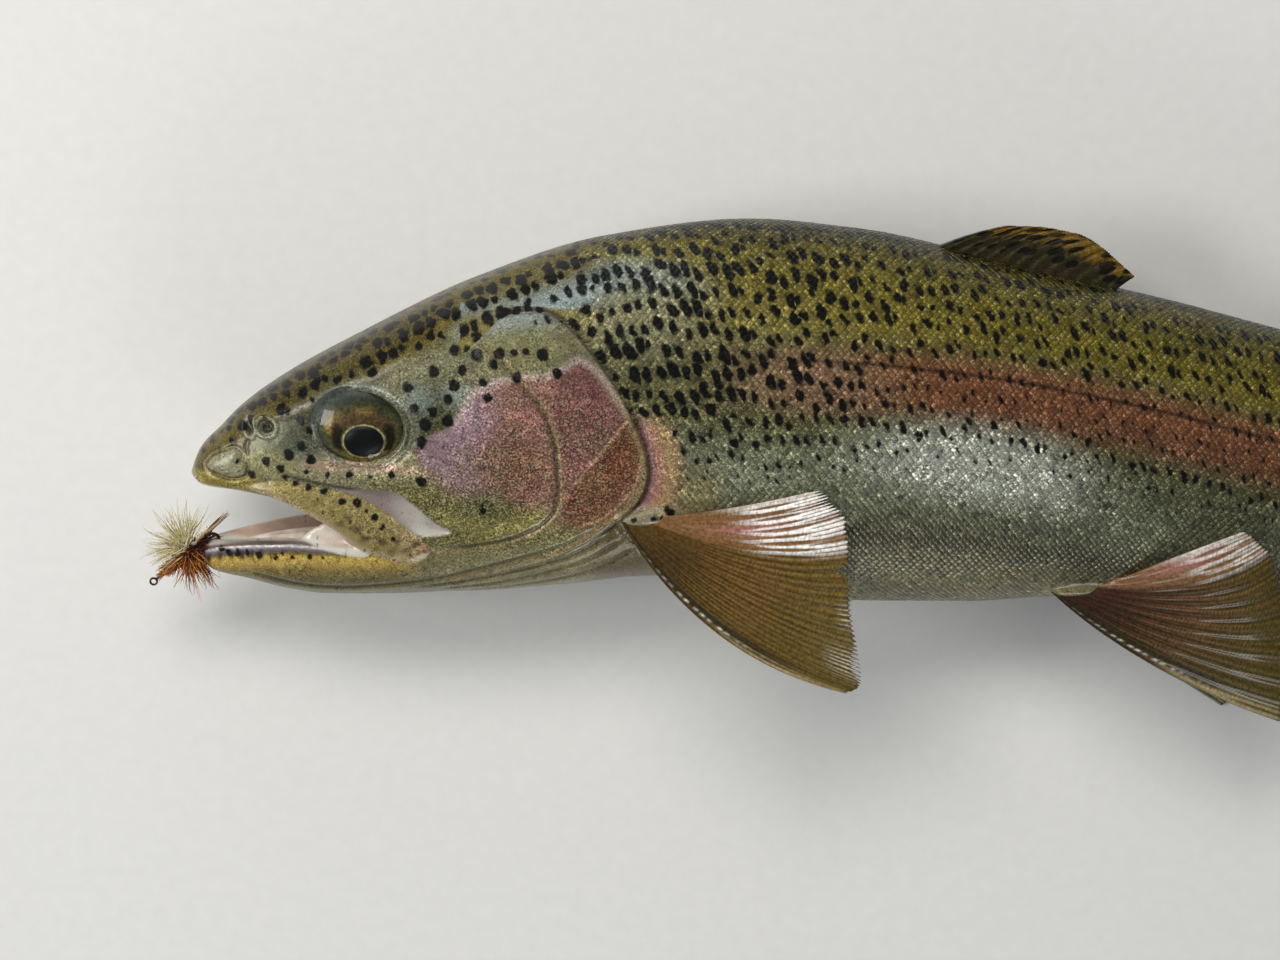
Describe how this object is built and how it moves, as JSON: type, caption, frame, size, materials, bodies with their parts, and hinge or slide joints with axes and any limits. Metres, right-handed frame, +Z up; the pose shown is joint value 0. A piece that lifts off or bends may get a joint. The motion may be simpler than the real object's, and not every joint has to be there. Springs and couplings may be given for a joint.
{
  "type": "rainbow trout",
  "caption": "Life-size rainbow trout lying on its right side, mouth open, with spotted olive back, rose flank band, spread paired fins and a small fly in its lower jaw.",
  "frame": {"origin": "on the floor under the middle of the fish's bounding box", "axes": "+X from snout to tail, +Y towards the back, +Z up, out of the left flank"},
  "size_m": [0.4274, 0.1418, 0.0482],
  "materials": {
    "skin": "wet scaled skin, olive with black spots, silver belly and a rose band",
    "jaw": "wet golden skin with dark flecks",
    "mouth": "wet pale pink flesh",
    "fin": "wet translucent rays and membrane",
    "eye": "clear wet cornea over a bronze iris",
    "hook": "bronzed wire",
    "fly": "hackle fibres, wound thread and dubbing"
  },
  "bodies": {
    "root": {"head": "skin", "lower_jaw": "jaw", "tongue": "mouth", "trunk": "skin", "tail_stalk": "skin", "gill_cover_left": "skin", "gill_cover_right": "skin", "upper_jaw_blade_left": "jaw", "upper_jaw_blade_right": "jaw", "eye_left": "eye", "eye_right": "eye", "pectoral_fin_left": "fin", "pectoral_fin_right": "fin", "pelvic_fin_left": "fin", "pelvic_fin_right": "fin", "dorsal_fin": "fin", "adipose_fin": "fin", "anal_fin": "fin", "caudal_fin": "fin", "fly_hook": "hook", "fly_dressing": "fly"}
  },
  "joints": []
}
